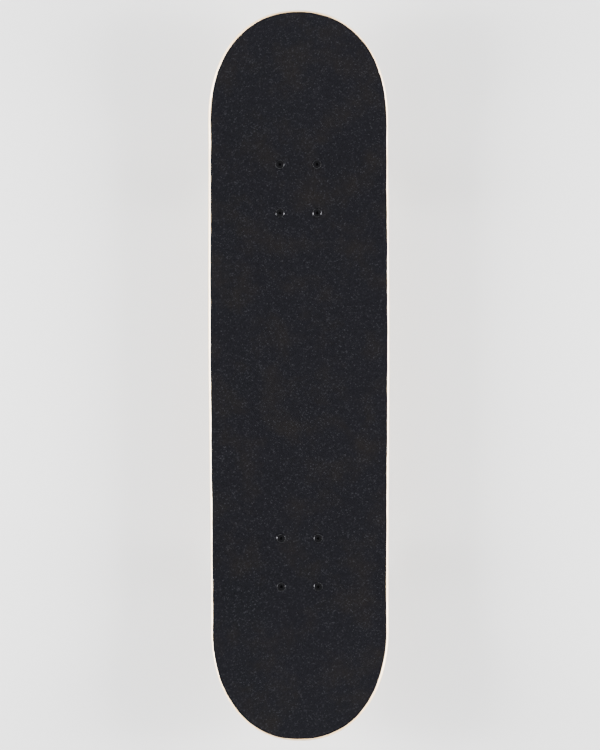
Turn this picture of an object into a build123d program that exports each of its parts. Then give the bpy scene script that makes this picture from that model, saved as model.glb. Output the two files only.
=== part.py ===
from build123d import *
import os
from math import asin, cos, hypot, radians, sin, sqrt

# A street skateboard, standing on its wheels. +Y runs to the nose, +X to the right, +Z up.
# The origin is on the floor, under the middle of the board. All sizes are in millimetres and degrees.

# Deck: a pressed maple laminate, dished across and bent up at both ends.
deck_length = 800.0
deck_width = 201.0
nose_narrowing = 1.6
tail_narrowing = 4.0
widest_station = 66.0
nose_curve = 121.0
tail_curve = 124.0
outline_power = 2.2
curve_points = 6
deck_thickness = 11.0
flat_width = 60.0
concave_rise = 8.0
kick_radius = 120.0
nose_angle = 21.0
tail_angle = 20.0
kick_setback = 12.0

# Grip tape: an abrasive sheet stuck on the deck and trimmed a little inside its edge.
grip_thickness = 0.9
grip_inset = 2.7
grip_hole_gap = 0.3

# Truck bolts: four to a truck, with countersunk socket heads and nylon lock nuts.
wheelbase = 362.0
bolt_spacing_across = 41.28
bolt_spacing_along = 53.98
bolt_diameter = 4.83
bolt_tail = 3.0
bolt_head_diameter = 9.8
bolt_head_proud = 0.4
bolt_socket = 3.18
bolt_socket_depth = 1.7
bolt_hole_gap = 0.25
deck_nut_flats = 9.5
deck_nut_height = 3.6
deck_nut_collar = 1.4
collar_share = 0.94

# Truck geometry, seen from the side. Offsets run outwards from the middle of the four bolts,
# and drops run down from the underside of the deck.
axle_drop = 53.0
axle_offset = 0.0
ring_offset = -16.0
ring_drop = 33.0
pivot_offset = 25.0
pivot_drop = 12.5
kingpin_tilt = 20.0

# Baseplate
plate_length = 82.0
plate_width = 56.0
plate_thickness = 6.0
plate_corner = 9.0
seat_rim = 0.7
seat_flare = 0.25
housing_wall = 3.2

# Kingpin, bushings and washers, stacked on the kingpin's own line
kingpin_diameter = 9.52
kingpin_head_flats = 14.3
kingpin_head_height = 5.6
kingpin_head_gap = 0.4
kingpin_seat_wall = 5.2
kingpin_tail = 2.0
kingpin_nut_flats = 14.3
kingpin_nut_height = 6.0
kingpin_nut_collar = 2.0
board_bushing_diameter = 24.4
board_bushing_height = 13.5
road_bushing_diameter = 24.0
road_bushing_tip = 18.6
road_bushing_height = 10.5
bushing_bore_gap = 0.2
washer_thickness = 1.4
washer_lip = 1.1
washer_gap = 0.2

# Pivot cup and pin
pin_diameter = 12.0
pin_length = 5.0
pin_root_diameter = 15.5
pin_clearance = 0.06
cup_wall = 2.4
cup_depth = 7.0
cup_floor = 2.0

# Hanger and axle
hanger_length = 129.0
ring_thickness = 7.0
ring_wall = 9.2
ring_hole_gap = 2.2
hanger_radius = 11.6
hanger_end_radius = 8.6
hanger_end_length = 9.0
web_width = 19.0
web_edge = 3.0
web_neck_radius = 7.0
gusset_inner_share = 0.25
gusset_outer_share = 0.294
gusset_thickness = 8.6
pin_flare_share = 0.75
bushing_room = 1.3
steering_room = 3.4
housing_gap = 1.0
axle_diameter = 7.94
axle_tail = 1.5
axle_nut_flats = 12.7
axle_nut_height = 4.8
axle_nut_collar = 1.7

# Wheels
wheel_diameter = 52.0
wheel_width = 32.0
riding_width = 19.0
wheel_face_dish = 1.3
wheel_lip_drop = 6.2
wheel_mouth_wall = 2.4
wheel_core_step = 2.0

# Bearings, spacers and speed rings
axle_gap = 0.03
bearing_diameter = 22.0
bearing_width = 7.0
ball_diameter = 3.969
ball_count = 7
ball_clearance = 0.05
race_gap = 2.9
shield_thickness = 0.4
shield_recess = 0.2
shield_seat = 0.7
shield_gap = 0.3
cage_wall = 1.6
cage_back = 2.6
cage_front = 1.2
pocket_gap = 0.1
spacer_length = 10.0
spacer_wall = 1.2
speed_ring_thickness = 1.0
speed_ring_wall = 2.0

# Places that follow from the sizes above
wheel_radius = wheel_diameter / 2
deck_bottom = wheel_radius + axle_drop
nose_width = deck_width - nose_narrowing
tail_width = deck_width - tail_narrowing
truck_station = (wheelbase + bolt_spacing_along) / 2
kick_start = wheelbase / 2 + bolt_spacing_along + kick_setback
half_flat = flat_width / 2
half_length = deck_length / 2
side_reach = deck_width / 2 - half_flat
concave_radius = (side_reach**2 + concave_rise**2) / (2 * concave_rise)
nut_stack = plate_thickness + deck_nut_height + deck_nut_collar
bolt_length = bolt_head_proud + deck_thickness + nut_stack + bolt_tail
board_washer_diameter = board_bushing_diameter + 2 * (washer_gap + washer_thickness)
road_bushing_taper = (road_bushing_diameter - road_bushing_tip) / road_bushing_height
road_lip_bore = road_bushing_tip + road_bushing_taper * washer_lip + 2 * washer_gap
road_washer_diameter = road_lip_bore + 2 * washer_thickness
seat_radius = board_washer_diameter / 2 + seat_rim
bearing_bore = axle_diameter + 2 * axle_gap
ball_circle = (bearing_bore + bearing_diameter) / 2
inner_race_diameter = ball_circle - race_gap
outer_race_bore = ball_circle + race_gap
spacer_diameter = bearing_bore + 2 * spacer_wall
speed_ring_diameter = bearing_bore + 2 * speed_ring_wall
wheel_core_bore = bearing_diameter - 2 * wheel_core_step
bearing_offset = (spacer_length + bearing_width) / 2
wheel_station = hanger_length / 2 + speed_ring_thickness + bearing_width + spacer_length / 2
ring_stations = (
    hanger_length / 2,
    hanger_length / 2 + speed_ring_thickness + 2 * bearing_width + spacer_length,
)
nut_station = ring_stations[1] + speed_ring_thickness
axle_length = 2 * (nut_station + axle_nut_height + axle_nut_collar + axle_tail)
spare = 6.0

kingpin_line = Plane(
    origin=(0, ring_offset, -ring_drop),
    x_dir=(1, 0, 0),
    z_dir=(0, sin(radians(kingpin_tilt)), cos(radians(kingpin_tilt))),
)
steering_line = Plane(
    origin=(0, pivot_offset, -pivot_drop),
    x_dir=(1, 0, 0),
    z_dir=(0, pivot_offset - ring_offset, ring_drop - pivot_drop),
)
front_truck = Location((0, truck_station, deck_bottom))
rear_truck = Location((0, -truck_station, deck_bottom), (0, 0, 180))
trucks = {"front": front_truck, "rear": rear_truck}


def rod(diameter, length, start=0.0):
    """A round bar along Z from a start height."""
    bar = Cylinder(diameter / 2, length, align=(Align.CENTER, Align.CENTER, Align.MIN))
    return Pos(0, 0, start) * bar


def tube(diameter, bore, length, start=0.0):
    """A round tube along Z from a start height."""
    return rod(diameter, length, start) - rod(bore, length, start)


def hexagon(flats, length, start=0.0):
    """A hexagonal bar along Z from a start height, given across its flats."""
    outline = RegularPolygon(flats / 2, 6, major_radius=False)
    return Pos(0, 0, start) * extrude(outline, length)


def turned(corners):
    """A solid of revolution about Z from the (radius, height) corners of its half section."""
    points = [(radius, 0, height) for radius, height in corners]
    return revolve(Face(Wire.make_polygon(points, close=True)), Axis.Z)


def across(solid, station=0.0):
    """A solid built along Z, laid along +X so that its zero comes to a station."""
    return Pos(station, 0, 0) * Rot(0, 90, 0) * solid


def joined(solids):
    """The single solid that overlapping pieces make together."""
    whole = solids[0]
    for piece in solids[1:]:
        whole = whole + piece
    return whole


def save(name, solids):
    """Write one node, whether it is one solid or a group of separate ones."""
    pieces = [solid for shape in solids for solid in shape.solids()]
    whole = pieces[0] if len(pieces) == 1 else Compound(children=pieces)
    export_step(whole, os.path.join("parts", name + ".step"))


# Deck and grip tape


def section_face(low, high):
    """The deck's cross-section between two heights above its underside, at the middle of the board."""
    angle = asin((side_reach + spare) / (concave_radius - high))

    def edge_point(side, turn, height):
        radius = concave_radius - height
        across_x = side * (half_flat + radius * sin(turn))
        return (across_x, 0, deck_bottom + concave_radius - radius * cos(turn))

    right_low = [edge_point(1, angle * part, low) for part in (0, 0.5, 1)]
    right_high = [edge_point(1, angle * part, high) for part in (1, 0.5, 0)]
    left_high = [edge_point(-1, angle * part, high) for part in (0, 0.5, 1)]
    left_low = [edge_point(-1, angle * part, low) for part in (1, 0.5, 0)]
    edges = [
        ThreePointArc(*right_low),
        Line(right_low[2], right_high[0]),
        ThreePointArc(*right_high),
        Line(right_high[2], left_high[0]),
        ThreePointArc(*left_high),
        Line(left_high[2], left_low[0]),
        ThreePointArc(*left_low),
        Line(left_low[2], right_low[0]),
    ]
    return Face(Wire(edges))


def kick(section, side, angle):
    """One bent-up end: an arc about a crosswise axis, then a straight run past the tip."""
    start = Pos(0, side * kick_start, 0) * section
    bend = Axis((0, side * kick_start, deck_bottom + kick_radius), (side, 0, 0))
    arc = revolve(start, bend, angle)
    level = half_length - kick_start - kick_radius * sin(radians(angle))
    run = level / cos(radians(angle)) + deck_thickness + spare
    direction = (0, side * cos(radians(angle)), sin(radians(angle)))
    return [arc, extrude(start.rotate(bend, angle), run, dir=direction)]


def pressed_layer(low, high):
    """A layer of the pressed board between two heights above its underside, before its outline is cut."""
    section = section_face(low, high)
    middle = extrude(Pos(0, -kick_start, 0) * section, 2 * kick_start, dir=(0, 1, 0))
    pieces = [middle] + kick(section, 1, nose_angle) + kick(section, -1, tail_angle)
    return joined(pieces)


def outline(inset):
    """The plan of the board, drawn in from its edge: two superellipse ends and gently barrelled sides."""

    def end_points(side, width, curve):
        points = []
        for index in range(curve_points + 1):
            turn = radians(90 * index / curve_points)
            reach = (width / 2 - inset) * max(cos(turn), 0) ** (2 / outline_power)
            along = (curve - inset) * sin(turn) ** (2 / outline_power)
            points.append((reach, side * (half_length - curve + along), 0))
        points[-1] = (0, side * (half_length - inset), 0)
        return points

    tail = end_points(-1, tail_width, tail_curve)
    nose = end_points(1, nose_width, nose_curve)
    widest = (deck_width / 2 - inset, widest_station, 0)
    right = [
        Spline(tail[::-1], tangents=[(1, 0, 0), (0, 1, 0)]),
        Spline([tail[0], widest, nose[0]], tangents=[(0, 1, 0), (0, 1, 0)]),
        Spline(nose, tangents=[(0, 1, 0), (-1, 0, 0)]),
    ]
    left = [edge.mirror(Plane.YZ) for edge in right]
    return Face(Wire(right + left))


def bolt_places(truck):
    """Where the four bolts of a truck stand on the deck."""
    return [
        truck * Pos(side * bolt_spacing_across / 2, end * bolt_spacing_along / 2, 0)
        for side in (-1, 1)
        for end in (-1, 1)
    ]


every_bolt = bolt_places(front_truck) + bolt_places(rear_truck)
head_cone_height = (bolt_head_diameter - bolt_diameter) / 2
tall = deck_bottom + kick_radius


def head_cone():
    """The countersink under a bolt head, from the shank up to the deck's top."""
    base = deck_thickness - head_cone_height
    small = bolt_diameter / 2
    large = bolt_head_diameter / 2
    return turned([(0, base), (small, base), (large, deck_thickness), (0, deck_thickness)])


def build_deck():
    board = pressed_layer(0, deck_thickness) & extrude(outline(0), tall, dir=(0, 0, 1))
    drill = rod(bolt_diameter + 2 * bolt_hole_gap, deck_thickness - head_cone_height) + head_cone()
    for place in every_bolt:
        board = board - place * drill
    return board


def build_griptape():
    sheet = pressed_layer(deck_thickness, deck_thickness + grip_thickness)
    sheet = sheet & extrude(outline(grip_inset), tall, dir=(0, 0, 1))
    punch = rod(bolt_head_diameter + 2 * grip_hole_gap, grip_thickness, deck_thickness)
    for place in every_bolt:
        sheet = sheet - place * punch
    return sheet


# Fasteners


def lock_nut(flats, height, collar, bore):
    """A nylon lock nut standing on its seat: the steel body and the ring set in its collar."""
    collar_diameter = flats * collar_share
    insert_diameter = (collar_diameter + bore) / 2
    steel = hexagon(flats, height) + rod(collar_diameter, collar, height)
    steel = steel - rod(bore, height + collar) - rod(insert_diameter, collar, height)
    nylon = tube(insert_diameter, bore, collar, height)
    return steel, nylon


def build_bolt():
    """A flat-head socket bolt in the deck, measured up from the deck's underside."""
    top = deck_thickness + bolt_head_proud
    shank_top = deck_thickness - head_cone_height
    shank = rod(bolt_diameter, bolt_length - (top - shank_top), top - bolt_length)
    land = rod(bolt_head_diameter, bolt_head_proud, deck_thickness)
    socket = hexagon(bolt_socket, bolt_socket_depth, top - bolt_socket_depth)
    return shank + head_cone() + land - socket


# Truck pieces. Each is built in the truck's own frame, whose zero is on the deck's underside.

seat_height = ring_thickness / 2 + board_bushing_height + washer_thickness
head_seat = seat_height + kingpin_seat_wall
road_washer_top = -ring_thickness / 2 - road_bushing_height
nut_seat = road_washer_top - washer_thickness
kingpin_end = nut_seat - kingpin_nut_height - kingpin_nut_collar - kingpin_tail
cup_diameter = pin_diameter + 2 * pin_clearance + 2 * cup_wall
cup_end = pin_diameter / 2 + pin_clearance + cup_floor
housing_diameter = cup_diameter + 2 * housing_wall
head_corners = kingpin_head_flats / cos(radians(30))


def ball_ended(diameter, length):
    """A round bar along -Z from zero, with a hemisphere on its upper end."""
    return rod(diameter, length, -length) + Sphere(diameter / 2)


def build_baseplate():
    flange = Pos(0, 0, -plate_thickness / 2) * Box(plate_width, plate_length, plate_thickness)
    flange = fillet(flange.edges().filter_by(Axis.Z), plate_corner)
    reach = plate_length
    boss = kingpin_line * turned(
        [
            (0, seat_height),
            (seat_radius, seat_height),
            (seat_radius + reach * seat_flare * sin(radians(kingpin_tilt)), seat_height + reach),
            (0, seat_height + reach),
        ]
    )
    housing = steering_line * rod(housing_diameter, cup_depth + cup_end + housing_wall, -cup_depth)
    below = Pos(0, 0, -reach / 2) * Box(plate_width, plate_length, reach)
    plate = (flange + boss + housing) & below
    plate = plate - kingpin_line * rod(kingpin_diameter, reach, seat_height)
    plate = plate - kingpin_line * rod(head_corners + 2 * kingpin_head_gap, reach, head_seat)
    plate = plate - steering_line * rod(cup_diameter, cup_depth + cup_end, -cup_depth)
    for place in bolt_places(Location((0, 0, 0))):
        plate = plate - place * rod(bolt_diameter + 2 * bolt_hole_gap, plate_thickness, -plate_thickness)
    return plate


def build_pivot_cup():
    outside = rod(cup_diameter, cup_depth + cup_end, -cup_depth)
    return steering_line * (outside - ball_ended(pin_diameter + 2 * pin_clearance, cup_depth))


def build_kingpin():
    shank = rod(kingpin_diameter, head_seat - kingpin_end, kingpin_end)
    return kingpin_line * (shank + hexagon(kingpin_head_flats, kingpin_head_height, head_seat))


def build_bushing(large, small, height, start):
    """A urethane bushing that narrows away from its start."""
    bore = kingpin_diameter + 2 * bushing_bore_gap
    body = turned([(bore / 2, 0), (large / 2, 0), (small / 2, height), (bore / 2, height)])
    return Pos(0, 0, start) * body


def build_washer(diameter, seat, side):
    """A cupped washer: a flat ring with a low lip that points to its bushing."""
    bore = kingpin_diameter + 2 * bushing_bore_gap
    flat = turned(
        [
            (bore / 2, 0),
            (diameter / 2, 0),
            (diameter / 2, washer_thickness + washer_lip),
            (diameter / 2 - washer_thickness, washer_thickness + washer_lip),
            (diameter / 2 - washer_thickness, washer_thickness),
            (bore / 2, washer_thickness),
        ]
    )
    turn = Rot(180, 0, 0) if side < 0 else Rot(0, 0, 0)
    return kingpin_line * Pos(0, 0, seat) * turn * flat


def build_hanger():
    """Ring, web, pivot pin and axle housing cast in one piece."""
    ring_bore = kingpin_diameter + 2 * ring_hole_gap
    ring_diameter = ring_bore + 2 * ring_wall
    ring = kingpin_line * rod(ring_diameter, ring_thickness, -ring_thickness / 2)
    neck_point = (pivot_offset - ring_offset, ring_drop - pivot_drop)
    span = hypot(*neck_point)
    root = span - cup_depth - pin_length
    neck = (ring_offset + neck_point[0] * root / span, -ring_drop + neck_point[1] * root / span)
    ring_side = (
        ring_offset + (ring_diameter / 2 - web_neck_radius) * cos(radians(kingpin_tilt)),
        -ring_drop - (ring_diameter / 2 - web_neck_radius) * sin(radians(kingpin_tilt)),
    )
    circles = [
        (neck, web_neck_radius),
        ((axle_offset, -axle_drop), hanger_radius),
        (ring_side, web_neck_radius),
    ]
    side_plane = Plane(origin=(0, 0, 0), x_dir=(0, 1, 0), z_dir=(1, 0, 0))
    rounds = [Pos(place[0], place[1]) * Circle(radius) for place, radius in circles]
    edges = [edge for circle in rounds for edge in circle.edges()]
    web = extrude(make_hull(edges), web_width / 2, both=True)
    web = side_plane * fillet(web.edges().filter_by(Axis.Z, reverse=True), web_edge)
    pin = steering_line * ball_ended(pin_diameter, cup_depth + pin_length)
    flare_top = -cup_depth - pin_length * (1 - pin_flare_share)
    collar = steering_line * turned(
        [
            (0, -cup_depth - pin_length),
            (pin_root_diameter / 2, -cup_depth - pin_length),
            (pin_diameter / 2, flare_top),
            (0, flare_top),
        ]
    )
    shoulder = web_width / 2
    half = hanger_length / 2
    housing = turned(
        [
            (0, -half),
            (hanger_end_radius, -half),
            (hanger_end_radius, -half + hanger_end_length),
            (hanger_radius, -shoulder),
            (hanger_radius, shoulder),
            (hanger_end_radius, half - hanger_end_length),
            (hanger_end_radius, half),
            (0, half),
        ]
    )
    axle_place = Pos(0, axle_offset, -axle_drop)
    arms = axle_place * across(housing)
    board_room = 2 * (seat_radius + steering_room)
    road_room = road_bushing_diameter + 2 * bushing_room
    cup_room = rod(housing_diameter + 2 * housing_gap, plate_length, -cup_depth - housing_gap)
    hanger = joined([ring, web, arms] + build_gussets(ring_side))
    hanger = hanger - kingpin_line * rod(board_room, plate_length, ring_thickness / 2)
    hanger = hanger - steering_line * cup_room + pin + collar
    road_reach = spare - kingpin_end
    hanger = hanger - kingpin_line * rod(road_room, road_reach, -road_reach - ring_thickness / 2)
    hanger = hanger - kingpin_line * rod(ring_bore, ring_thickness, -ring_thickness / 2)
    return hanger - axle_place * across(rod(axle_diameter, hanger_length, -half))


def build_gussets(ring_side):
    """The two ribs that spread from the ring down to the arms of the axle housing."""
    ribs = []
    for side in (-1, 1):
        inner = side * web_width * gusset_inner_share
        outer = side * hanger_length * gusset_outer_share
        corners = [
            (inner, ring_side[0], ring_side[1] + web_neck_radius / 2),
            (inner, axle_offset, -axle_drop),
            (outer, axle_offset, -axle_drop),
        ]
        rib = extrude(Face(Wire.make_polygon(corners, close=True)), gusset_thickness / 2, both=True)
        ribs.append(rib)
    return ribs


def build_axle():
    return Pos(0, axle_offset, -axle_drop) * across(rod(axle_diameter, axle_length, -axle_length / 2))


# Wheels and bearings. Each is built about Z with its middle at zero, then laid along the axle.


def build_wheel():
    """A cast urethane wheel with rounded lips, dished faces and two bearing seats."""
    half = wheel_width / 2
    ride = riding_width / 2
    mouth = bearing_offset + bearing_width / 2
    seat = bearing_diameter / 2
    mouth_radius = seat + wheel_mouth_wall
    face_radius = wheel_radius - wheel_lip_drop
    core = wheel_core_bore / 2
    bulge = 1 - sqrt(0.5)

    def half_edges(side):
        lip_middle = (
            wheel_radius - wheel_lip_drop * bulge,
            0,
            side * (half - (half - ride) * bulge),
        )
        corners = [
            (face_radius, 0, side * half),
            (mouth_radius, 0, side * (half - wheel_face_dish)),
            (seat, 0, side * mouth),
            (seat, 0, side * (mouth - bearing_width)),
            (core, 0, side * (mouth - bearing_width)),
        ]
        lip = ThreePointArc((wheel_radius, 0, side * ride), lip_middle, corners[0])
        return [lip] + [Line(corners[index], corners[index + 1]) for index in range(4)]

    rim = Line((wheel_radius, 0, -ride), (wheel_radius, 0, ride))
    hollow = Line((core, 0, bearing_width - mouth), (core, 0, mouth - bearing_width))
    return revolve(Face(Wire([rim, hollow] + half_edges(1) + half_edges(-1))), Axis.Z)


groove = Torus(ball_circle / 2, ball_diameter / 2 + ball_clearance)
shield_seat_bore = outer_race_bore + 2 * shield_seat


def build_inner_race():
    return tube(inner_race_diameter, bearing_bore, bearing_width, -bearing_width / 2) - groove


def build_outer_race():
    race = tube(bearing_diameter, outer_race_bore, bearing_width, -bearing_width / 2) - groove
    depth = shield_recess + shield_thickness
    race = race - rod(shield_seat_bore, depth, bearing_width / 2 - depth)
    return race - rod(shield_seat_bore, depth, -bearing_width / 2)


def build_shields():
    """The two sheet-metal covers of a bearing, one in each face of its outer race."""
    bore = inner_race_diameter + 2 * shield_gap
    start = bearing_width / 2 - shield_recess - shield_thickness
    cover = tube(shield_seat_bore, bore, shield_thickness, start)
    return [cover, mirror(cover, Plane.XY)]


def build_balls():
    return [
        Rot(0, 0, 360 * index / ball_count) * Pos(ball_circle / 2, 0, 0) * Sphere(ball_diameter / 2)
        for index in range(ball_count)
    ]


def build_cage():
    """A crown cage: a ring closed on one side, with a pocket for each ball."""
    ring = tube(ball_circle + cage_wall, ball_circle - cage_wall, cage_back + cage_front, -cage_back)
    for index in range(ball_count):
        turn = Rot(0, 0, 360 * index / ball_count)
        ring = ring - turn * Pos(ball_circle / 2, 0, 0) * Sphere(ball_diameter / 2 + pocket_gap)
    return ring


# The whole board, node by node

os.makedirs("parts", exist_ok=True)
save("deck", [build_deck()])
save("griptape", [build_griptape()])

deck_nut, deck_nut_insert = lock_nut(deck_nut_flats, deck_nut_height, deck_nut_collar, bolt_diameter)
kingpin_nut, kingpin_insert = lock_nut(
    kingpin_nut_flats, kingpin_nut_height, kingpin_nut_collar, kingpin_diameter
)
axle_nut, axle_insert = lock_nut(axle_nut_flats, axle_nut_height, axle_nut_collar, axle_diameter)
upside_down = Rot(180, 0, 0)
under_plate = Pos(0, 0, -plate_thickness) * upside_down
under_washer = Pos(0, 0, nut_seat) * upside_down
bolt = build_bolt()
baseplate = build_baseplate()
pivot_cup = build_pivot_cup()
kingpin = build_kingpin()
hanger = build_hanger()
axle = build_axle()
board_bushing = kingpin_line * build_bushing(
    board_bushing_diameter, board_bushing_diameter, board_bushing_height, ring_thickness / 2
)
road_bushing = kingpin_line * (
    Pos(0, 0, -ring_thickness)
    * upside_down
    * build_bushing(road_bushing_diameter, road_bushing_tip, road_bushing_height, -ring_thickness / 2)
)
board_washer = build_washer(board_washer_diameter, seat_height, -1)
road_washer = build_washer(road_washer_diameter, nut_seat, 1)
inner_race = build_inner_race()
spacer = tube(spacer_diameter, bearing_bore, spacer_length, -spacer_length / 2)
speed_ring = tube(speed_ring_diameter, bearing_bore, speed_ring_thickness)
wheel = build_wheel()
outer_race = build_outer_race()
shields = build_shields()
balls = build_balls()
cage = build_cage()
on_axle = Pos(0, axle_offset, -axle_drop)
right_end = Rot(0, 0, 0)
left_end = Rot(0, 0, 180)

for end, truck in trucks.items():
    bolt_spots = bolt_places(truck)
    save(end + "_deck_bolts", [place * bolt for place in bolt_spots])
    save(end + "_deck_nuts", [place * under_plate * deck_nut for place in bolt_spots])
    save(end + "_deck_nut_inserts", [place * under_plate * deck_nut_insert for place in bolt_spots])
    save(end + "_baseplate", [truck * baseplate])
    save(end + "_pivot_cup", [truck * pivot_cup])
    save(end + "_kingpin", [truck * kingpin])
    save(end + "_kingpin_nut", [truck * (kingpin_line * (under_washer * kingpin_nut))])
    save(end + "_kingpin_nut_insert", [truck * (kingpin_line * (under_washer * kingpin_insert))])
    save(end + "_board_bushing", [truck * board_bushing])
    save(end + "_road_bushing", [truck * road_bushing])
    save(end + "_board_washer", [truck * board_washer])
    save(end + "_road_washer", [truck * road_washer])
    save(end + "_hanger", [truck * hanger])
    save(end + "_axle", [truck * axle])
    sides = [truck * on_axle * turn for turn in (right_end, left_end)]
    rings = [across(speed_ring, station) for station in ring_stations]
    races = [across(inner_race, wheel_station + shift) for shift in (-bearing_offset, bearing_offset)]
    save(end + "_axle_nuts", [side * across(axle_nut, nut_station) for side in sides])
    save(end + "_axle_nut_inserts", [side * across(axle_insert, nut_station) for side in sides])
    save(end + "_speed_rings", [side * ring for side in sides for ring in rings])
    save(end + "_inner_races", [side * race for side in sides for race in races])
    save(end + "_bearing_spacers", [side * across(spacer, wheel_station) for side in sides])

corners = {
    "front_left": (front_truck, left_end),
    "front_right": (front_truck, right_end),
    "rear_left": (rear_truck, right_end),
    "rear_right": (rear_truck, left_end),
}
for corner, (truck, turn) in corners.items():
    side = truck * on_axle * turn
    stations = (wheel_station - bearing_offset, wheel_station + bearing_offset)
    save(corner + "_wheel", [side * across(wheel, wheel_station)])
    save(corner + "_outer_races", [side * across(outer_race, station) for station in stations])
    save(corner + "_shields", [side * across(cover, station) for station in stations for cover in shields])
    save(corner + "_balls", [side * across(ball, station) for station in stations for ball in balls])
    save(corner + "_cages", [side * across(cage, station) for station in stations])
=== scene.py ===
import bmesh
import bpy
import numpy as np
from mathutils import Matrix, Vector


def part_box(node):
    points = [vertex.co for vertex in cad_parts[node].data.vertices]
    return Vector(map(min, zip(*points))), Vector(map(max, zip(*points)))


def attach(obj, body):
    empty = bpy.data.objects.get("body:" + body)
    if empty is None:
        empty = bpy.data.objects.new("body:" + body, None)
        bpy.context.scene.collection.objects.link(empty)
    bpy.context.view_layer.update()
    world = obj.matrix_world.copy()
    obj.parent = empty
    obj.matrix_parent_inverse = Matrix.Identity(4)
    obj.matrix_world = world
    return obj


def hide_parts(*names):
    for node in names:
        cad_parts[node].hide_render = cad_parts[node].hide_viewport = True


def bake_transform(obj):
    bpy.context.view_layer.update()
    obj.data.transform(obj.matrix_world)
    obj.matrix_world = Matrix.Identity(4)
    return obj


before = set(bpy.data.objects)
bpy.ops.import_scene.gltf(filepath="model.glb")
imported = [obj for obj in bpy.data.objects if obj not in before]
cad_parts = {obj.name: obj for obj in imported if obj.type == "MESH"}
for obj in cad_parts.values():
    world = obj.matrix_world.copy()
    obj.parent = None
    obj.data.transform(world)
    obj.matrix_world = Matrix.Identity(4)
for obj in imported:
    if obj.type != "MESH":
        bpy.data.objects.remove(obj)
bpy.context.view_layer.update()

# %% [markdown]
# A street skateboard in Blender
#
# The engineering model comes first: every part of the board, at its real size, already stands in the
# scene on its wheels. +Y runs to the nose, +X to the right and +Z up. This lesson gives each part the
# look of the real thing. Shapes are worked out with numpy as whole arrays, and finishes are built from
# procedural nodes whose scales are real millimetres.

print("parts in the frame:", len(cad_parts))

MM = 0.001
deck_low, deck_high = [np.array(corner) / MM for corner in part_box("deck")]
print("deck box in mm:", deck_low.round(1), deck_high.round(1))

# %% [markdown]
# Sizes that the looks share with the engineering model
#
# A mesh that replaces a part has to fit the parts around it, so the few sizes that shape the deck and the
# trucks are named here once, in millimetres. Those that the model can tell, such as the deck's length, are
# read from its boxes.

# %% Sizes in millimetres
half_length = deck_high[1]
deck_bottom = deck_low[2]
deck_thickness = 11.0
grip_thickness = 0.9
half_flat = 30.0
concave_rise = 8.0
hole_across, hole_along = 41.28, 53.98
inner_rows_apart = 362.0
flat_past_holes = 12.0
kick_start = inner_rows_apart / 2 + hole_along + flat_past_holes
kick_radius = 120.0
kick_angle = {1: np.radians(21.0), -1: np.radians(20.0)}
deck_width = 2 * deck_high[0]
end_width = {1: deck_width - 1.6, -1: deck_width - 4.0}
end_curve = {1: 121.0, -1: 124.0}
widest_station = 66.0
outline_power = 2.2
side_reach = deck_width / 2 - half_flat
concave_radius = (side_reach**2 + concave_rise**2) / (2 * concave_rise)

truck_station = (inner_rows_apart + hole_along) / 2
bolt_across = hole_across / 2
bolt_along = hole_along / 2
baseplate_thickness = 6.0
axle_drop = 53.0
axle_height = deck_bottom - axle_drop
ring_centre = np.array([0, -16.0, -33.0])
kingpin_tilt = np.radians(20.0)
kingpin_up = np.array([0, np.sin(kingpin_tilt), np.cos(kingpin_tilt)])
ring_half = 3.5
board_bushing_height = 13.5
road_bushing_height = 10.5
washer_thickness = 1.4
ENDS = {"front": 1, "rear": -1}
print("deck underside stands", round(float(deck_bottom), 2), "mm above the floor")

# %% [markdown]
# From an array to a mesh
#
# Most pieces here are one sheet of points with rows and columns. Neighbours in the array become the
# corners of a four-sided face. A sheet's last column always meets its first, which makes a tube, and in a
# ring the last row meets the first too. Where a row shrinks to a point, as at a pole, the doubled points
# are merged so that the skin is closed.

# %% Grid helpers

weld_distance = 1e-6
sliver_length = 1e-7


def quads(rows, columns, loop_rows):
    """The four corner numbers of each cell: once wrapping round, for points, and once not, for the uv."""
    row = np.arange(rows if loop_rows else rows - 1)[:, None]
    column = np.arange(columns)[None, :]
    steps = [(row, column), (row, column + 1), (row + 1, column + 1), (row + 1, column)]
    wrapped = [(r % rows) * columns + (c % columns) + 0 * (row + column) for r, c in steps]
    straight = [r * (columns + 1) + c + 0 * (row + column) for r, c in steps]
    return np.stack(wrapped, -1).reshape(-1, 4), np.stack(straight, -1).reshape(-1, 4)


def build(name, sheets, sharp=35.0):
    """One closed mesh object from sheets of (points in mm, uv, whether the last row meets the first).

    The uv array has one more row and one more column than the points, so that it can run past a seam."""
    points, faces, uvs = [], [], []
    count = 0
    for grid, uv, loop_rows in sheets:
        rows, columns = grid.shape[:2]
        cells, corners = quads(rows, columns, loop_rows)
        points.append(grid.reshape(-1, 3) * MM)
        faces.append(cells + count)
        count += rows * columns
        uvs.append(uv.reshape(-1, 2)[corners])
    mesh = bpy.data.meshes.new(name)
    mesh.from_pydata(np.concatenate(points).tolist(), [], np.concatenate(faces).tolist())
    layer = mesh.uv_layers.new(name="Skin")
    layer.data.foreach_set("uv", np.concatenate(uvs).astype(np.float32).ravel())
    work = bmesh.new()
    work.from_mesh(mesh)
    bmesh.ops.remove_doubles(work, verts=work.verts, dist=weld_distance)
    bmesh.ops.dissolve_degenerate(work, edges=work.edges, dist=sliver_length)
    bmesh.ops.recalc_face_normals(work, faces=work.faces)
    work.to_mesh(mesh)
    work.free()
    mesh.shade_smooth()
    mesh.set_sharp_from_angle(angle=np.radians(sharp))
    piece = bpy.data.objects.new(name, mesh)
    bpy.context.collection.objects.link(piece)
    print(name, len(mesh.vertices), "points", len(mesh.polygons), "faces")
    return piece


def uv_grid(first, second):
    """A uv array from one value for each row and one for each column.

    Each list is one longer than the points are."""
    return np.stack(np.broadcast_arrays(np.asarray(first)[:, None], np.asarray(second)[None, :]), -1)


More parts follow.
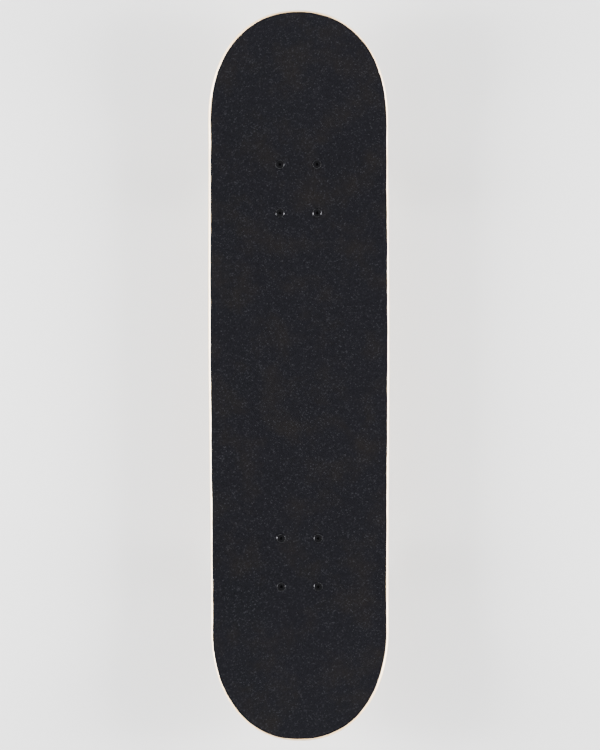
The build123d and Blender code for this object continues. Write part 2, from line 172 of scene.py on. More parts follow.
# %% [markdown]
# The shape of the deck
#
# A skateboard deck is seven thin sheets of maple glued in a press. The press dishes it across the width, so
# the feet can feel the edges, and bends both ends up into kicks. Seen from above its sides swell very
# slightly and each end is close to an ellipse. Three formulas hold all of that: one for the plan outline,
# one for the dish and one for the bend.

# %% Outline, dish and bend


def outline(spacing):
    """The plan outline as evenly spaced points, anticlockwise from the tail's tip.

    Each end is a superellipse, |x/a|^p + |y/b|^p = 1, and each side is a smooth step between three widths."""
    samples = 400
    turn = np.linspace(0, np.pi / 2, samples)
    ends = {}
    for end in (1, -1):
        x = end_width[end] / 2 * np.cos(turn).clip(0) ** (2 / outline_power)
        y = half_length - end_curve[end] + end_curve[end] * np.sin(turn) ** (2 / outline_power)
        ends[end] = np.stack([x, end * y], 1)
    y = np.linspace(ends[-1][0, 1], ends[1][0, 1], samples)
    widths = [end_width[-1] / 2, deck_width / 2, end_width[1] / 2]
    back = ((y - y[0]) / (widest_station - y[0])).clip(0, 1)
    ahead = ((y - widest_station) / (y[-1] - widest_station)).clip(0, 1)
    x = widths[0] + (widths[1] - widths[0]) * (3 * back**2 - 2 * back**3)
    x = x + (widths[2] - widths[1]) * (3 * ahead**2 - 2 * ahead**3)
    right = np.concatenate([ends[-1][::-1], np.stack([x, y], 1)[1:-1], ends[1]])
    loop = np.concatenate([right, right[-2:0:-1] * [-1, 1]])
    closed = np.concatenate([loop, loop[:1]])
    length = np.concatenate([[0], np.cumsum(np.hypot(*np.diff(closed, axis=0).T))])
    at = np.linspace(0, length[-1], int(length[-1] / spacing), endpoint=False)
    return np.stack([np.interp(at, length, closed[:, 0]), np.interp(at, length, closed[:, 1])], 1)


def pressed(x, y, height):
    """Where a point of the pressed board stands, from its plan place and its height in the thickness.

    The dish lifts it along a circle past the flat middle. In a kick the board turns about a crosswise axis,
    and past the bend it runs straight on, so the point climbs along the tangent."""
    reach = (np.abs(x) - half_flat).clip(0)
    lift = concave_radius - np.sqrt((concave_radius - height) ** 2 - reach**2)
    end = np.where(y > 0, 1, -1)
    angle = np.where(y > 0, kick_angle[1], kick_angle[-1])
    past = (np.abs(y) - kick_start).clip(0)
    radius = kick_radius - lift
    bend = np.arcsin((past / radius).clip(0, np.sin(angle)))
    run = (past - radius * np.sin(bend)).clip(0) * np.tan(angle)
    z = deck_bottom + kick_radius - radius * np.cos(bend) + run
    return np.stack(np.broadcast_arrays(x, y, z), -1)


outline_spacing = 3.0
edge = outline(outline_spacing)
ahead = np.roll(edge, -1, 0) - np.roll(edge, 1, 0)
outward = np.stack([ahead[:, 1], -ahead[:, 0]], 1) / np.hypot(*ahead.T)[:, None]
spine_y = edge[:, 1].clip(-(half_length - end_curve[-1]), half_length - end_curve[1])
spine = np.stack([0 * spine_y, spine_y], 1)
around = np.arange(len(edge) + 1)
print("outline points:", len(edge))


def board_sheet(profile, fill_rows):
    """A closed skin over the plan: in from the edge to the spine on top, round the edge, and back below.

    profile lists (inset from the outline, height in the thickness) down the edge, from top to bottom. Each
    value is one number or one for each outline point."""
    fill = np.linspace(0, 1, fill_rows, endpoint=False)
    rows, heights = [], []
    for inset, height in profile:
        rows.append(edge - outward * np.broadcast_to(inset, len(edge))[:, None])
        heights.append(np.broadcast_to(height, len(edge)))
    first = [spine + step * (rows[0] - spine) for step in fill]
    last = [spine + step * (rows[-1] - spine) for step in fill[::-1]]
    plan = np.array(first + rows + last)
    height = np.array([heights[0]] * fill_rows + heights + [heights[-1]] * fill_rows)
    grid = pressed(plan[..., 0], plan[..., 1], height)
    uv = uv_grid(np.append(height.mean(1), 0) / deck_thickness, around / len(edge))
    return grid, uv, False


def rounded_edge(top, bottom, radius):
    """(inset, height) pairs down a rounded edge: a quarter circle, a straight and a quarter circle."""
    turn = np.linspace(0, np.pi / 2, 6)
    upper = [(radius * (1 - np.sin(t)), top - radius * (1 - np.cos(t))) for t in turn]
    lower = [(radius * (1 - np.cos(t)), bottom + radius * (1 - np.sin(t))) for t in turn]
    return upper + lower


# %% [markdown]
# Forms turned on a lathe
#
# Wheels, bolts, nuts and bushings are profiles carried round an axis. One formula covers round and
# hexagonal rows alike: the radius is the smaller of a circle's and a hexagon's, so a nut's corners are cut
# by a cone exactly as the factory chamfers them. A thread is the same sheet with a ridge that climbs one
# pitch each turn.

# %% Lathe helpers

rod_columns = 48
nut_columns = 72
bushing_columns = 96
wheel_columns = 144


def turned(rows, columns, loop_rows=False):
    """Rows of (height, cap radius, hexagon flats or 0) carried round Z.

    Radius = min(cap, flats / 2 / cos(angle from the middle of the nearest flat))."""
    height, cap, flats = np.array([tuple(row) + (0,) * (3 - len(row)) for row in rows], float).T
    turn = np.arange(columns) / columns * 2 * np.pi
    off_flat = (turn + np.pi / 6) % (np.pi / 3) - np.pi / 6
    no_hexagon = 1e6
    hexagon = np.where(flats > 0, flats / 2, no_hexagon)[:, None] / np.cos(off_flat)[None, :]
    radius = np.minimum(cap[:, None], hexagon)
    grid = np.stack(
        [radius * np.cos(turn), radius * np.sin(turn), np.repeat(height[:, None], columns, 1)], -1
    )
    travel = np.concatenate([[0], np.cumsum(np.hypot(np.diff(height), np.diff(cap)))])
    uv = uv_grid(np.append(travel, travel[-1]), np.arange(columns + 1) / columns)
    return grid, uv, loop_rows


def thread(radius, start, end, pitch, depth):
    """A threaded rod's skin: a triangular ridge, |phase - 1/2|, whose phase is height / pitch - turn.

    Eight rows follow each pitch, and the ridge fades in and out over the first and last millimetre."""
    rows_per_pitch, fade = 8, 1.0
    rows = int(abs(end - start) / pitch * rows_per_pitch) + 2
    height = np.linspace(start, end, rows)[:, None]
    turn = np.arange(rod_columns)[None, :] / rod_columns
    phase = (height / pitch - turn) % 1
    edge_fade = (np.minimum(height - min(start, end), max(start, end) - height) / fade).clip(0, 1)
    ridge = depth * (1 - 2 * np.abs(phase - 0.5)) * edge_fade
    r = radius - depth * edge_fade + ridge
    angle = turn * 2 * np.pi
    return np.stack(np.broadcast_arrays(r * np.cos(angle), r * np.sin(angle), height), -1)


def placed(sheet, origin, up, right=(1.0, 0, 0)):
    """A sheet moved so that its zero stands at origin and its Z runs along up."""
    grid, *rest = sheet
    up = np.array(up, float) / np.linalg.norm(up)
    right = np.array(right, float)
    right = right - up * (right @ up)
    right = right / np.linalg.norm(right)
    ahead_axis = np.cross(up, right)
    turn = np.stack([right, ahead_axis, up])
    return grid @ turn + np.array(origin, float), *rest


def truck_place(points, end):
    """Points of a truck's own frame, under the deck, moved to the front or turned to the rear."""
    side = ENDS[end]
    return points * [side, side, 1] + [0, side * truck_station, deck_bottom]


def at_truck(sheet, end):
    """A sheet built in the truck's own frame, moved to the front or turned to the rear."""
    grid, *rest = sheet
    return truck_place(grid, end), *rest


print("lathe ready")

# %% [markdown]
# Deck and its bolt holes
#
# The router leaves the deck's edge rounded on both faces, and that curve is what catches the light as the
# pale rim. The eight bolt holes are cut with a Boolean, because a hole through a sheet of rows and columns
# has no place in the array. The uv map holds the height in the thickness, which the wood finish reads to
# find its plies.

# %% Deck

edge_round = 4.2
fill_rows = 26
deck = build("deck_maple", [board_sheet(rounded_edge(deck_thickness, 0, edge_round), fill_rows)])


def hole_sheet(rows):
    """A closed cutter for the eight bolt holes, from (height, radius) rows above the deck's underside."""
    sheets = []
    for end in ENDS:
        for x in (-bolt_across, bolt_across):
            for y in (-bolt_along, bolt_along):
                cutter = turned([(rows[0][0], 0)] + rows + [(rows[-1][0], 0)], rod_columns)
                sheets.append(at_truck(placed(cutter, (x, y, 0), (0, 0, 1)), end))
    return sheets


def cut(piece, sheets):
    """Take the cutter's volume out of a piece and keep the result as its mesh."""
    cutter = build(piece.name + "_cutter", sheets)
    boolean = piece.modifiers.new("holes", "BOOLEAN")
    boolean.operation = "DIFFERENCE"
    boolean.solver = "EXACT"
    boolean.object = cutter
    graph = bpy.context.evaluated_depsgraph_get()
    piece.data = bpy.data.meshes.new_from_object(piece.evaluated_get(graph))
    piece.modifiers.clear()
    bpy.data.objects.remove(cutter)
    print(piece.name, "cut:", len(piece.data.polygons), "faces")


head_radius = 4.9
shank_radius = 2.415
cone_height = head_radius - shank_radius
shank_gap = 0.25
head_gap = 0.06
past_face = 1.0
deck_hole = [
    (-past_face, shank_radius + shank_gap),
    (deck_thickness - cone_height, shank_radius + shank_gap),
    (deck_thickness, head_radius + head_gap),
    (deck_thickness + past_face, head_radius + head_gap),
]
cut(deck, hole_sheet(deck_hole))
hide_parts("deck")
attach(deck, "deck")

# %% [markdown]
# Grip tape
#
# The tape is a sheet of black grit on a sticky film, pressed on and trimmed by hand with a blade. The hand
# leaves the rim of bare wood a little wider on one side than the other and never quite even, so its inset
# is a steady part plus a slow drift and a small wander.

# %% Grip tape

grip_inset = 2.15
trim_wander = 0.16
x_share, y_share = edge[:, 0] / (deck_width / 2), edge[:, 1] / half_length
along = around[:-1] / len(edge) * 2 * np.pi
trim_drift = 0.55
drift = trim_drift * (-x_share * y_share)
waves = np.sin(17 * along + 0.7) + 0.7 * np.sin(41 * along + 2.1) + 0.4 * np.sin(97 * along)
trim = grip_inset + drift + trim_wander * waves
glue_line = 0.03
tape_bottom = deck_thickness + glue_line
tape_top = deck_thickness + grip_thickness
pressed_over = [(back, grip_thickness) for back in (3.2, 1.6, 0.8, 0.35)]
trimmed_edge = [(0.1, grip_thickness - 0.12), (0, grip_thickness - 0.4), (0, glue_line)]
stuck_down = [(back, glue_line) for back, _ in pressed_over[::-1]]


def edge_drop(inset):
    """How far the deck's rounded edge has fallen: radius - sqrt(radius^2 - (radius - inset)^2)."""
    return edge_round - np.sqrt(edge_round**2 - (edge_round - inset).clip(0) ** 2)


tape_profile = [
    (trim + back, deck_thickness + lift - edge_drop(trim + back))
    for back, lift in pressed_over + trimmed_edge + stuck_down
]
tape = build("grip_tape", [board_sheet(tape_profile, fill_rows)])
tape_grip = 0.01
tape_hole = [
    (deck_thickness - past_face, head_radius - tape_grip),
    (tape_bottom + 0.1, head_radius - tape_grip),
    (tape_top - 0.1, head_radius + 1.0),
    (tape_top + past_face, head_radius + 1.3),
]
cut(tape, hole_sheet(tape_hole))
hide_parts("griptape")
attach(tape, "deck")

# %% [markdown]
# Bolts and nuts
#
# Each truck hangs on four countersunk bolts with a hex socket, and a lock nut below. The tape is cut
# through when a bolt is driven, and its sharp grit scratches the black finish off the rim of the head. The
# uv map holds the distance from the middle of the head, so the finish can wear there.

# %% Bolts, deck nuts and their threads

head_above_deck = 0.4
head_top = deck_thickness + head_above_deck
bolt_length = 25.4
bolt_end = head_top - bolt_length
bolt_pitch, bolt_thread_depth, bolt_tip = 0.794, 0.35, 0.5
shank_stop, thread_start = 1.0, 0.8
deck_nut_flats, deck_nut_height, deck_nut_collar = 9.5, 3.6, 1.4
socket_flats = 3.18
socket_depth = 1.7
beyond_corners = 9.0
rim_chamfer = 0.5
rim_start = head_top - 0.03
bolt_rows = [
    (head_top - socket_depth, 0),
    (head_top - socket_depth, beyond_corners, socket_flats),
    (head_top - 0.25, beyond_corners, socket_flats),
    (head_top, beyond_corners, socket_flats + 0.4),
    (head_top, head_radius - rim_chamfer - 0.08),
    (rim_start, head_radius - rim_chamfer + 0.05),
    (rim_start - 0.72 * rim_chamfer, head_radius - 0.02),
    (deck_thickness, head_radius),
    (deck_thickness - cone_height, shank_radius),
    (shank_stop, shank_radius),
]


def hexagonal_nut(flats, height, bore, collar, chamfer):
    """A lock nut on its seat: chamfered hexagon, round collar, and a bore that closes the ring of rows."""
    collar_share = 0.47
    collar_radius = flats * collar_share
    corner = flats / 2 / np.cos(np.pi / 6)
    return turned(
        [
            (0, bore),
            (0, flats / 2 - 0.1),
            (chamfer, corner, flats),
            (height - chamfer, corner, flats),
            (height, flats / 2, flats),
            (height + 0.15, collar_radius),
            (height + collar - 0.35, collar_radius),
            (height + collar - 0.1, collar_radius - 0.12),
            (height + collar, collar_radius - 0.45),
            (height + collar, (collar_radius + bore) / 2),
            (height, (collar_radius + bore) / 2),
            (height, bore),
        ],
        nut_columns,
        True,
    )


def rod_with_thread(rows, radius, start, end, pitch, depth, tip):
    """A skin that follows the rows, then the thread, then closes on the axis with a chamfered tip.

    The uv map's first value is the distance from the axis, for finishes that wear at a rim."""
    smooth = turned(rows, rod_columns)[0]
    ridges = thread(radius, start, end, pitch, depth)
    step, root = np.sign(end - start), radius - depth
    far = end + step * tip
    nose = turned([(end + step * 0.02, root), (far, root - tip), (far, 0)], rod_columns)[0]
    grid = np.concatenate([smooth, ridges, nose])
    reach = np.hypot(grid[..., 0], grid[..., 1])
    uv = np.zeros((grid.shape[0] + 1, rod_columns + 1, 2))
    uv[:-1, :-1, 0] = reach
    uv[:-1, -1, 0] = reach[:, 0]
    uv[..., 1] = np.arange(rod_columns + 1) / rod_columns
    return grid, uv, False


UP, DOWN, AHEAD = (0, 0, 1), (0, 0, -1), (0, 1.0, 0)
nut_turn = 0.35
thread_gap = 0.02
for end in ENDS:
    bolts, nuts = [], []
    for x in (-bolt_across, bolt_across):
        for y in (-bolt_along, bolt_along):
            tip_start = bolt_end + bolt_tip
            bolt = rod_with_thread(
                bolt_rows, shank_radius, thread_start, tip_start, bolt_pitch, bolt_thread_depth, bolt_tip
            )
            bolts.append(at_truck(placed(bolt, (x, y, 0), UP), end))
            bore = shank_radius + thread_gap
            nut = hexagonal_nut(deck_nut_flats, deck_nut_height, bore, deck_nut_collar, 0.35)
            flat_faces = (1.0, nut_turn * x / bolt_across, 0)
            nuts.append(at_truck(placed(nut, (x, y, -baseplate_thickness), DOWN, flat_faces), end))
    bolt_piece = build(end + "_bolts", bolts)
    nut_piece = build(end + "_lock_nuts", nuts)
    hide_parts(end + "_deck_bolts")
    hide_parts(end + "_deck_nuts")
    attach(bolt_piece, "deck")
    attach(nut_piece, "deck")

# %% [markdown]
# Trucks
#
# Hanger and baseplate are cast aluminium. A casting has no sharp corners, because the mould can't hold
# them, so a copy of the engineering shape is rebuilt from half-millimetre cubes and smoothed a little. That
# rounds every edge alike, which rows and columns can't do on so branched a form.

# %% Castings

# In metres, because the modifier takes it as it is.
casting_voxel = 0.00055


def casting(name, node):
    """A soft-edged copy of a cast part: merged, rebuilt from voxels, smoothed, and kept as a mesh."""
    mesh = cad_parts[node].data.copy()
    mesh.name = name
    work = bmesh.new()
    work.from_mesh(mesh)
    bmesh.ops.remove_doubles(work, verts=work.verts, dist=2 * weld_distance)
    work.to_mesh(mesh)
    work.free()
    piece = bpy.data.objects.new(name, mesh)
    bpy.context.collection.objects.link(piece)
    remesh = piece.modifiers.new("voxels", "REMESH")
    remesh.mode = "VOXEL"
    remesh.voxel_size = casting_voxel
    smooth = piece.modifiers.new("soften", "SMOOTH")
    smooth.factor = 0.5
    smooth.iterations = 9
    graph = bpy.context.evaluated_depsgraph_get()
    piece.data = bpy.data.meshes.new_from_object(piece.evaluated_get(graph))
    piece.modifiers.clear()
    piece.data.materials.clear()
    piece.data.shade_smooth()
    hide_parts(node)
    print(name, len(piece.data.polygons), "faces")
    return piece


for end in ENDS:
    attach(casting(end + "_cast_hanger", end + "_hanger"), end + "_hanger")
    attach(casting(end + "_cast_baseplate", end + "_baseplate"), "deck")

# %% [markdown]
# Kingpin, axle and their nuts
#
# The kingpin is the bolt that squeezes the bushings, and its nut sets how easily the board turns. The axle
# is a ground steel rod pressed into the hanger, threaded only at its ends, where the wheel nuts sit.

# %% Kingpins and axles

kingpin_radius = 4.76
kingpin_flats = 14.3
kingpin_head = 5.6
kingpin_head_chamfer = 0.5
kingpin_face_radius = 6.9
kingpin_nut_height = 6.0
kingpin_collar = 2.0
kingpin_spare = 2.0
kingpin_seat_wall = 5.2
head_seat = ring_half + board_bushing_height + washer_thickness + kingpin_seat_wall
nut_seat = -ring_half - road_bushing_height - washer_thickness
kingpin_end = nut_seat - kingpin_nut_height - kingpin_collar - kingpin_spare
axle_radius = 3.97
axle_half = 98.5
nut_station = 90.5
truck_pitch = 1.058
truck_tip = 0.6
kingpin_thread_depth = 0.45
axle_thread_depth = 0.42
wheel_nut_flats, wheel_nut_height, wheel_nut_collar = 12.7, 4.8, 1.7
wheel_nut_turn = 0.3

for end in ENDS:
    head = [
        (head_seat + kingpin_head, 0),
        (head_seat + kingpin_head, kingpin_face_radius),
        (head_seat + kingpin_head - kingpin_head_chamfer, beyond_corners, kingpin_flats),
        (head_seat, beyond_corners, kingpin_flats),
        (head_seat, kingpin_radius),
        (nut_seat + shank_stop, kingpin_radius),
    ]
    first, last = nut_seat + thread_start, kingpin_end + truck_tip
    kingpin = rod_with_thread(
        head, kingpin_radius, first, last, truck_pitch, kingpin_thread_depth, truck_tip
    )
    kingpin = at_truck(placed(kingpin, ring_centre, kingpin_up), end)
    kingpin_piece = build(end + "_kingpin_bolt", [kingpin])
    nut = hexagonal_nut(
        kingpin_flats, kingpin_nut_height, kingpin_radius + thread_gap, kingpin_collar, 0.5
    )
    nut = placed(nut, nut_seat * kingpin_up + ring_centre, -kingpin_up)
    nut_piece = build(end + "_kingpin_lock_nut", [at_truck(nut, end)])
    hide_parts(end + "_kingpin")
    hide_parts(end + "_kingpin_nut")
    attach(kingpin_piece, "deck")
    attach(nut_piece, "deck")
    halves, wheel_nuts = [], []
    for side in (1, -1):
        rows = [(0, 0), (0, axle_radius), (nut_station - shank_stop, axle_radius)]
        first, last = nut_station - thread_start, axle_half - truck_tip
        half = rod_with_thread(
            rows, axle_radius, first, last, truck_pitch, axle_thread_depth, truck_tip
        )
        halves.append(at_truck(placed(half, (0, 0, -axle_drop), (side, 0, 0), AHEAD), end))
        bore = axle_radius + thread_gap
        nut = hexagonal_nut(wheel_nut_flats, wheel_nut_height, bore, wheel_nut_collar, 0.45)
        spot = (side * nut_station, 0, -axle_drop)
        flat_faces = (0, 1.0, wheel_nut_turn * side * ENDS[end])
        wheel_nuts.append(at_truck(placed(nut, spot, (side, 0, 0), flat_faces), end))
    axle_piece = build(end + "_axle_rod", halves)
    nuts_piece = build(end + "_wheel_nuts", wheel_nuts)
    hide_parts(end + "_axle")
    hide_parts(end + "_axle_nuts")
    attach(axle_piece, end + "_hanger")
    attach(nuts_piece, end + "_hanger")

# %% [markdown]
# Bushings
#
# The two urethane bushings are the truck's springs, a barrel on the board's side and a cone on the road's.

# %% Bushings


def bushing_rows(large, small, height):
    """A ring's rows: bore, a straight or tapered outside, and rims that fall away as a parabola."""
    bore = kingpin_radius + 0.2
    share = np.linspace(0, 1, 17)
    outer = large / 2 + (small - large) / 2 * share
    tips = np.minimum(share, 1 - share)
    rim_share, rim_drop = 0.08, 0.7
    outer = outer - rim_drop * (1 - (tips / rim_share).clip(0, 1)) ** 2
    return [(0, bore)] + list(zip(share * height, outer)) + [(height, bore)]


bushings = (
    ("board", 24.4, 24.4, board_bushing_height, kingpin_up),
    ("road", 24.0, 18.6, road_bushing_height, -kingpin_up),
)
for end in ENDS:
    for name, large, small, height, up in bushings:
        seat = ring_centre + ring_half * up
        sheet = placed(turned(bushing_rows(large, small, height), bushing_columns, True), seat, up)
        piece = build(f"{end}_{name}_urethane", [at_truck(sheet, end)])
        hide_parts(f"{end}_{name}_bushing")
        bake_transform(piece)

# %% [markdown]
# Wheels
#
# A wheel is urethane poured round nothing: the two bearing seats are moulded straight into it. The riding
# face is flat, the lips are well rounded and the side faces dish inwards to the bearing.

# %% Wheels

wheel_station = 77.5
wheel_half = 16.0
wheel_ride = 9.5
wheel_radius = 26.0
wheel_face_radius = 19.8
wheel_mouth = 13.4
bearing_face = 12.0
bearing_width = 7.0
bearing_radius = 11.0
shoulder_radius = 9.0
mouth_radius = 11.55
bearing_gap = 0.02
dish_depth, dish_bow = 1.3, 0.25
wheel_sharp_angle = 50.0


def wheel_half_rows(side):
    """One half of a wheel's section, right or left, from the riding face in to the bearing's shoulder."""
    lip_reach = wheel_half - wheel_ride
    lip_drop = wheel_radius - wheel_face_radius
    turn = np.linspace(0, np.pi / 2, 14)
    lip = [(wheel_ride + lip_reach * np.sin(t), wheel_face_radius + lip_drop * np.cos(t)) for t in turn]
    share = np.linspace(0, 1, 9)[1:]
    inwards = wheel_mouth - wheel_face_radius
    dish = [
        (wheel_half - dish_depth * s - dish_bow * np.sin(np.pi * s), wheel_face_radius + inwards * s)
        for s in share
    ]
    mouth = [
        (wheel_half - 1.5, wheel_mouth - 0.35),
        (bearing_face + 0.5, mouth_radius),
        (bearing_face, bearing_radius + bearing_gap),
        (bearing_face - bearing_width, bearing_radius),
        (bearing_face - bearing_width, shoulder_radius),
    ]
    return [(side * height, radius) for height, radius in lip + dish + mouth]


wheel_rows = wheel_half_rows(-1)[::-1] + [(0, wheel_radius)] + wheel_half_rows(1)
corners = {
    "front_left": (1, -1),
    "front_right": (1, 1),
    "rear_left": (-1, -1),
    "rear_right": (-1, 1),
}
for corner, (end, side) in corners.items():
    spot = (side * wheel_station, end * truck_station, axle_height)
    sheet = placed(turned(wheel_rows, wheel_columns, True), spot, (side, 0, 0), UP)
    piece = build(corner + "_urethane_wheel", [sheet], wheel_sharp_angle)
    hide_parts(corner + "_wheel")
    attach(piece, corner + "_wheel")

# %% [markdown]
# Finishes
#
# Every material is built the same way: patterns first, in millimetres of the object itself, then one
# Principled shader. Colours are written as the sRGB values that a paint chart would give, and one function
# turns them to the linear light that the renderer mixes.

# %% Material helpers


def colour(code):
    """An sRGB hex code as linear RGBA: c / 12.92 below 0.04045, and ((c + 0.055) / 1.055)^2.4 above."""
    share = np.array([int(code[i : i + 2], 16) for i in (1, 3, 5)]) / 255
    linear = np.where(share <= 0.04045, share / 12.92, ((share + 0.055) / 1.055) ** 2.4)
    return (*linear.tolist(), 1.0)


def add(tree, kind, inputs=(), **settings):
    """One shader node with its settings; each input is given a value or another node's output."""
    made = tree.nodes.new(kind)
    for key, value in settings.items():
        setattr(made, key, value)
    for socket, value in dict(inputs).items():
        if isinstance(value, bpy.types.NodeSocket):
            tree.links.new(value, made.inputs[socket])
        else:
            made.inputs[socket].default_value = value
    return made


def start(name):
    """A new material, its empty tree, and in it the object's own coordinates and its uv map."""
    material = bpy.data.materials.new(name)
    material.use_nodes = True
    material.node_tree.nodes.clear()
    place = add(material.node_tree, "ShaderNodeTexCoord")
    return material, material.node_tree, place.outputs["Object"], place.outputs["UV"]


def finish(tree, shader):
    """Send a shader to the material's surface."""
    add(tree, "ShaderNodeOutputMaterial", {"Surface": shader.outputs[0]})


def per_mm(size):
    """The scale that makes one cell of a pattern as wide as a size in millimetres."""
    return 1 / (size * MM)


print("material helpers ready")

# %% [markdown]
# Clear-coated maple
#
# Hard maple is pale and fine grained. On the face the grain runs the length of the board as faint darker
# streaks. On the edge the seven plies show as layers 1.6 mm thick: five with the grain along the board and
# two across it, whose cut ends look darker, with a thin line of glue between. A clear lacquer gives a soft
# gloss.

# %% Maple

maple, tree, place, skin = start("Maple_pressed_seven_ply_lacquered")
stretch = add(tree, "ShaderNodeMapping", {"Vector": place, "Scale": (1.0, 0.03, 0.6)})
streaks = add(
    tree,
    "ShaderNodeTexNoise",
    {"Vector": stretch.outputs[0], "Scale": per_mm(3.5), "Detail": 6.0, "Roughness": 0.62},
)
fine = add(
    tree,
    "ShaderNodeTexNoise",
    {"Vector": stretch.outputs[0], "Scale": per_mm(0.7), "Detail": 3.0, "Roughness": 0.6},
)
clouds = add(tree, "ShaderNodeTexNoise", {"Vector": place, "Scale": per_mm(70.0), "Detail": 2.0})
pale = add(
    tree,
    "ShaderNodeMix",
    {0: clouds.outputs["Fac"], 6: colour("#EDD0A2"), 7: colour("#E2BF8C")},
    data_type="RGBA",
)
streak_share = add(
    tree, "ShaderNodeMapRange", {0: streaks.outputs["Fac"], 1: 0.42, 2: 0.72, 3: 0.0, 4: 0.55}
)
grained = add(
    tree,
    "ShaderNodeMix",
    {0: streak_share.outputs[0], 6: pale.outputs[2], 7: colour("#C49A67")},
    data_type="RGBA",
)
fine_share = add(tree, "ShaderNodeMapRange", {0: fine.outputs["Fac"], 1: 0.45, 2: 0.8, 3: 0.0, 4: 0.35})
face = add(
    tree,
    "ShaderNodeMix",
    {0: fine_share.outputs[0], 6: grained.outputs[2], 7: colour("#B98D5C")},
    data_type="RGBA",
)
thickness = add(tree, "ShaderNodeSeparateXYZ", {0: skin})
ply = add(tree, "ShaderNodeMath", {0: thickness.outputs[0], 1: 7.0}, operation="MULTIPLY")
ply_share = add(tree, "ShaderNodeMath", {0: ply.outputs[0]}, operation="FRACT")
ply_number = add(tree, "ShaderNodeMath", {0: ply.outputs[0]}, operation="FLOOR")
from_middle = add(tree, "ShaderNodeMath", {0: ply_number.outputs[0], 1: 3.0}, operation="SUBTRACT")
reach = add(tree, "ShaderNodeMath", {0: from_middle.outputs[0]}, operation="ABSOLUTE")
crosswise = add(tree, "ShaderNodeMath", {0: reach.outputs[0], 1: 1.0, 2: 0.25}, operation="COMPARE")
end_grain = add(tree, "ShaderNodeTexNoise", {"Vector": place, "Scale": per_mm(0.5), "Detail": 2.0})
end_colour = add(
    tree,
    "ShaderNodeMix",
    {0: end_grain.outputs["Fac"], 6: colour("#B98A5A"), 7: colour("#A4754A")},
    data_type="RGBA",
)
plies = add(
    tree,
    "ShaderNodeMix",
    {0: crosswise.outputs[0], 6: face.outputs[2], 7: end_colour.outputs[2]},
    data_type="RGBA",
)
glue = add(tree, "ShaderNodeMath", {0: ply_share.outputs[0], 1: 0.5, 2: 0.43}, operation="COMPARE")
inside = add(tree, "ShaderNodeMath", {0: thickness.outputs[0], 1: 0.5, 2: 0.49}, operation="COMPARE")
line = add(tree, "ShaderNodeMath", {0: inside.outputs[0], 1: glue.outputs[0]}, operation="SUBTRACT")
line_share = add(tree, "ShaderNodeMapRange", {0: line.outputs[0], 1: 0.0, 2: 1.0, 3: 0.0, 4: 0.4})
layered = add(
    tree,
    "ShaderNodeMix",
    {0: line_share.outputs[0], 6: plies.outputs[2], 7: colour("#7A5533")},
    data_type="RGBA",
)
shine = add(tree, "ShaderNodeMapRange", {0: fine.outputs["Fac"], 1: 0.3, 2: 0.7, 3: 0.34, 4: 0.46})
relief = add(
    tree, "ShaderNodeBump", {"Height": fine.outputs["Fac"], "Strength": 0.25, "Distance": 0.05 * MM}
)
finish(
    tree,
    add(
        tree,
        "ShaderNodeBsdfPrincipled",
        {
            "Base Color": layered.outputs[2],
            "Roughness": shine.outputs[0],
            "IOR": 1.5,
            "Coat Weight": 0.8,
            "Coat Roughness": 0.22,
            "Normal": relief.outputs[0],
        },
    ),
)
print("maple nodes:", len(tree.nodes))

# %% [markdown]
# Silicon carbide grip tape
#
# Black mineral grains of about half a millimetre stand in black resin. Close up they sparkle: some grains are
# smoother, and about one in ten carries a painted glint, a lighter base colour that stands in for light
# caught on its facets. From a distance the sheet is a very dark, slightly bluish matt grey with soft patches
# where dust has settled. The grains are drawn about 0.9 mm wide, so that single ones can be told apart from
# three metres away.

# %% Grip tape finish

grit, tree, place, _ = start("Silicon_carbide_grit_on_resin")
grain = add(
    tree, "ShaderNodeTexVoronoi", {"Vector": place, "Scale": per_mm(0.9), "Randomness": 1.0}, feature="F1"
)
tone = add(tree, "ShaderNodeSeparateColor", {0: grain.outputs["Color"]})
coarse = add(
    tree,
    "ShaderNodeTexNoise",
    {"Vector": place, "Scale": per_mm(2.2), "Detail": 4.0, "Roughness": 0.7},
)
patches = add(
    tree,
    "ShaderNodeTexNoise",
    {"Vector": place, "Scale": per_mm(45.0), "Detail": 4.0, "Roughness": 0.6},
)
dust_share = add(tree, "ShaderNodeMapRange", {0: patches.outputs["Fac"], 1: 0.48, 2: 0.72, 3: 0.0, 4: 0.5})
ground = add(
    tree,
    "ShaderNodeMix",
    {0: coarse.outputs["Fac"], 6: colour("#030304"), 7: colour("#0D0D10")},
    data_type="RGBA",
)
dusty = add(
    tree,
    "ShaderNodeMix",
    {0: dust_share.outputs[0], 6: ground.outputs[2], 7: colour("#0F0D0B")},
    data_type="RGBA",
)
# Painted glints: about one grain in ten is lightened towards #222225, a painted highlight that stands in for
# light caught on its facets.
painted_glint_share = add(tree, "ShaderNodeMapRange", {0: tone.outputs[0], 1: 0.90, 2: 1.0, 3: 0.0, 4: 0.6})
grit_with_painted_glints = add(
    tree,
    "ShaderNodeMix",
    {0: painted_glint_share.outputs[0], 6: dusty.outputs[2], 7: colour("#222225")},
    data_type="RGBA",
)
grain_shine = add(tree, "ShaderNodeMapRange", {0: tone.outputs[1], 1: 0.7, 2: 1.0, 3: 0.95, 4: 0.55})
relief = add(
    tree,
    "ShaderNodeBump",
    {"Height": grain.outputs["Distance"], "Strength": 0.8, "Distance": 0.25 * MM},
    invert=True,
)
finish(
    tree,
    add(
        tree,
        "ShaderNodeBsdfPrincipled",
        {
            "Base Color": grit_with_painted_glints.outputs[2],
            "Roughness": grain_shine.outputs[0],
            "Specular IOR Level": 0.02,
            "Normal": relief.outputs[0],
        },
    ),
)
print("grip nodes:", len(tree.nodes))

# %% [markdown]
# Metals
#
# Four metals differ mainly in colour and in how their surface was made: tumbled aluminium castings are
# softly uneven, zinc plate is smooth with a faint mottle, ground and hardened steel is bright, and black
# oxide is a thin dark skin that rubs off at edges. Each has its own tone and unevenness and the same build,
# so one function makes them all.

# %% Metal finishes


